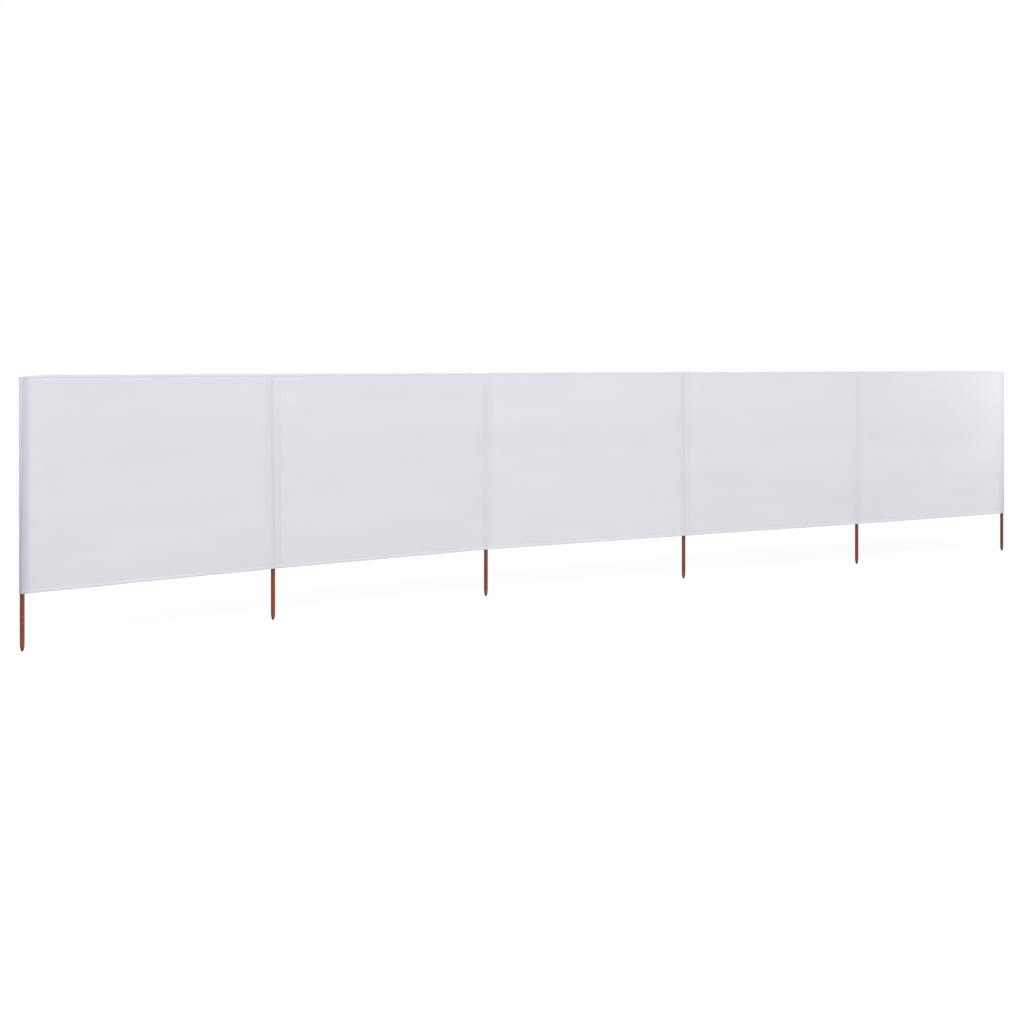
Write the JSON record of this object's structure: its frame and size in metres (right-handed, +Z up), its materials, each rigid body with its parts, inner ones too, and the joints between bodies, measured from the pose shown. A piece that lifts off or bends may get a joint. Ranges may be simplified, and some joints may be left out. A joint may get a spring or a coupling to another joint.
{
  "type": "beach windbreak",
  "caption": "Long low windbreak of white cloth in bays, with round wooden posts in sewn pockets whose tapered ends push into sand.",
  "frame": {"origin": "centre of the blunt tip of the first post, at the left end seen from the front", "axes": "+X along the line from the first post to the last, -Y the front, +Z up along the posts"},
  "size_m": [6.0067, 0.2441, 1.011],
  "materials": {
    "white_cloth": "matt plain-woven polyester cloth, white with a faint lavender cast",
    "stained_wood": "turned wood stained reddish brown, satin"
  },
  "bodies": {
    "root": {"post_1": "stained_wood", "post_2": "stained_wood", "post_3": "stained_wood", "post_4": "stained_wood", "post_5": "stained_wood", "post_6": "stained_wood", "pocket_1": "white_cloth", "pocket_2": "white_cloth", "pocket_3": "white_cloth", "pocket_4": "white_cloth", "pocket_5": "white_cloth", "pocket_6": "white_cloth", "cloth_bay_1": "white_cloth", "cloth_bay_2": "white_cloth", "cloth_bay_3": "white_cloth", "cloth_bay_4": "white_cloth", "cloth_bay_5": "white_cloth", "top_hem_1": "white_cloth", "top_hem_2": "white_cloth", "top_hem_3": "white_cloth", "top_hem_4": "white_cloth", "top_hem_5": "white_cloth", "bottom_hem_1": "white_cloth", "bottom_hem_2": "white_cloth", "bottom_hem_3": "white_cloth", "bottom_hem_4": "white_cloth", "bottom_hem_5": "white_cloth"}
  },
  "joints": []
}
